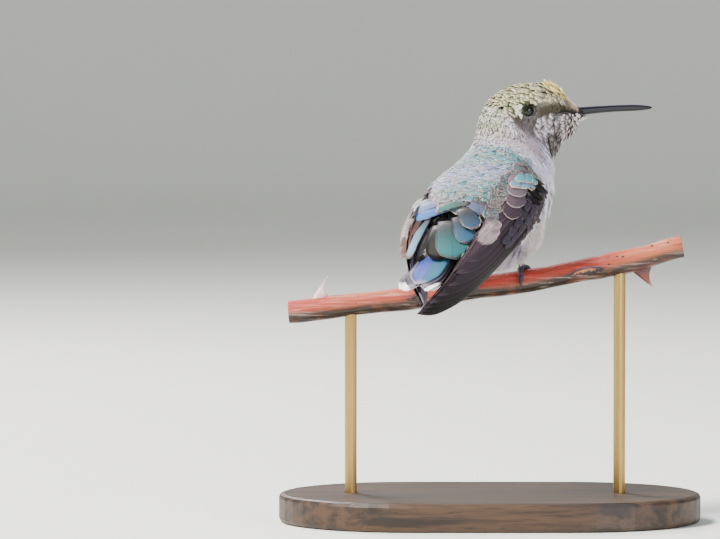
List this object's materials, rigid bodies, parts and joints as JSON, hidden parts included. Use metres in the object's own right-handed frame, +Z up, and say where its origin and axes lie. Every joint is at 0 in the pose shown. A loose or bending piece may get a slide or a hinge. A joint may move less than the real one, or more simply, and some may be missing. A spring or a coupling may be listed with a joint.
{
  "type": "hummingbird model on a perch",
  "caption": "Life-size still model of a perched female-plumaged hummingbird seen from behind its right shoulder, gripping a cut rose cane on a small display stand.",
  "frame": {"origin": "middle of the flat underside of the stand's base", "axes": "+Z up; +X along the length of the base and the cane; the bird faces between +X and +Y with its head turned towards +X"},
  "size_m": [0.088, 0.0622, 0.0913],
  "materials": {
    "trunk": "soft overlapping feathers, matt with a slight sheen",
    "neck": "soft grey feathers",
    "head": "short grey-green feathers",
    "tail": "blue-green iridescent vanes",
    "wing_left": "satin brown-lilac flight feathers",
    "wing_right": "satin brown-lilac flight feathers",
    "leg_left": "downy pale feathers",
    "leg_right": "downy pale feathers",
    "foot_left": "scaly blackish skin and claws",
    "foot_right": "scaly blackish skin and claws",
    "eye_left": "wet dark eye",
    "eye_right": "wet dark eye",
    "bill": "satin blackish horn",
    "perch_cane": "smooth salmon-red bark",
    "stand_base": "dark oiled wood",
    "stand_rod_left": "brushed brass",
    "stand_rod_right": "brushed brass"
  },
  "bodies": {
    "root": {"trunk": "trunk", "neck": "neck", "head": "head", "tail": "tail", "wing_left": "wing_left", "wing_right": "wing_right", "leg_left": "leg_left", "leg_right": "leg_right", "foot_left": "foot_left", "foot_right": "foot_right", "eye_left": "eye_left", "eye_right": "eye_right", "bill": "bill", "perch_cane": "perch_cane", "stand_base": "stand_base", "stand_rod_left": "stand_rod_left", "stand_rod_right": "stand_rod_right"}
  },
  "joints": []
}
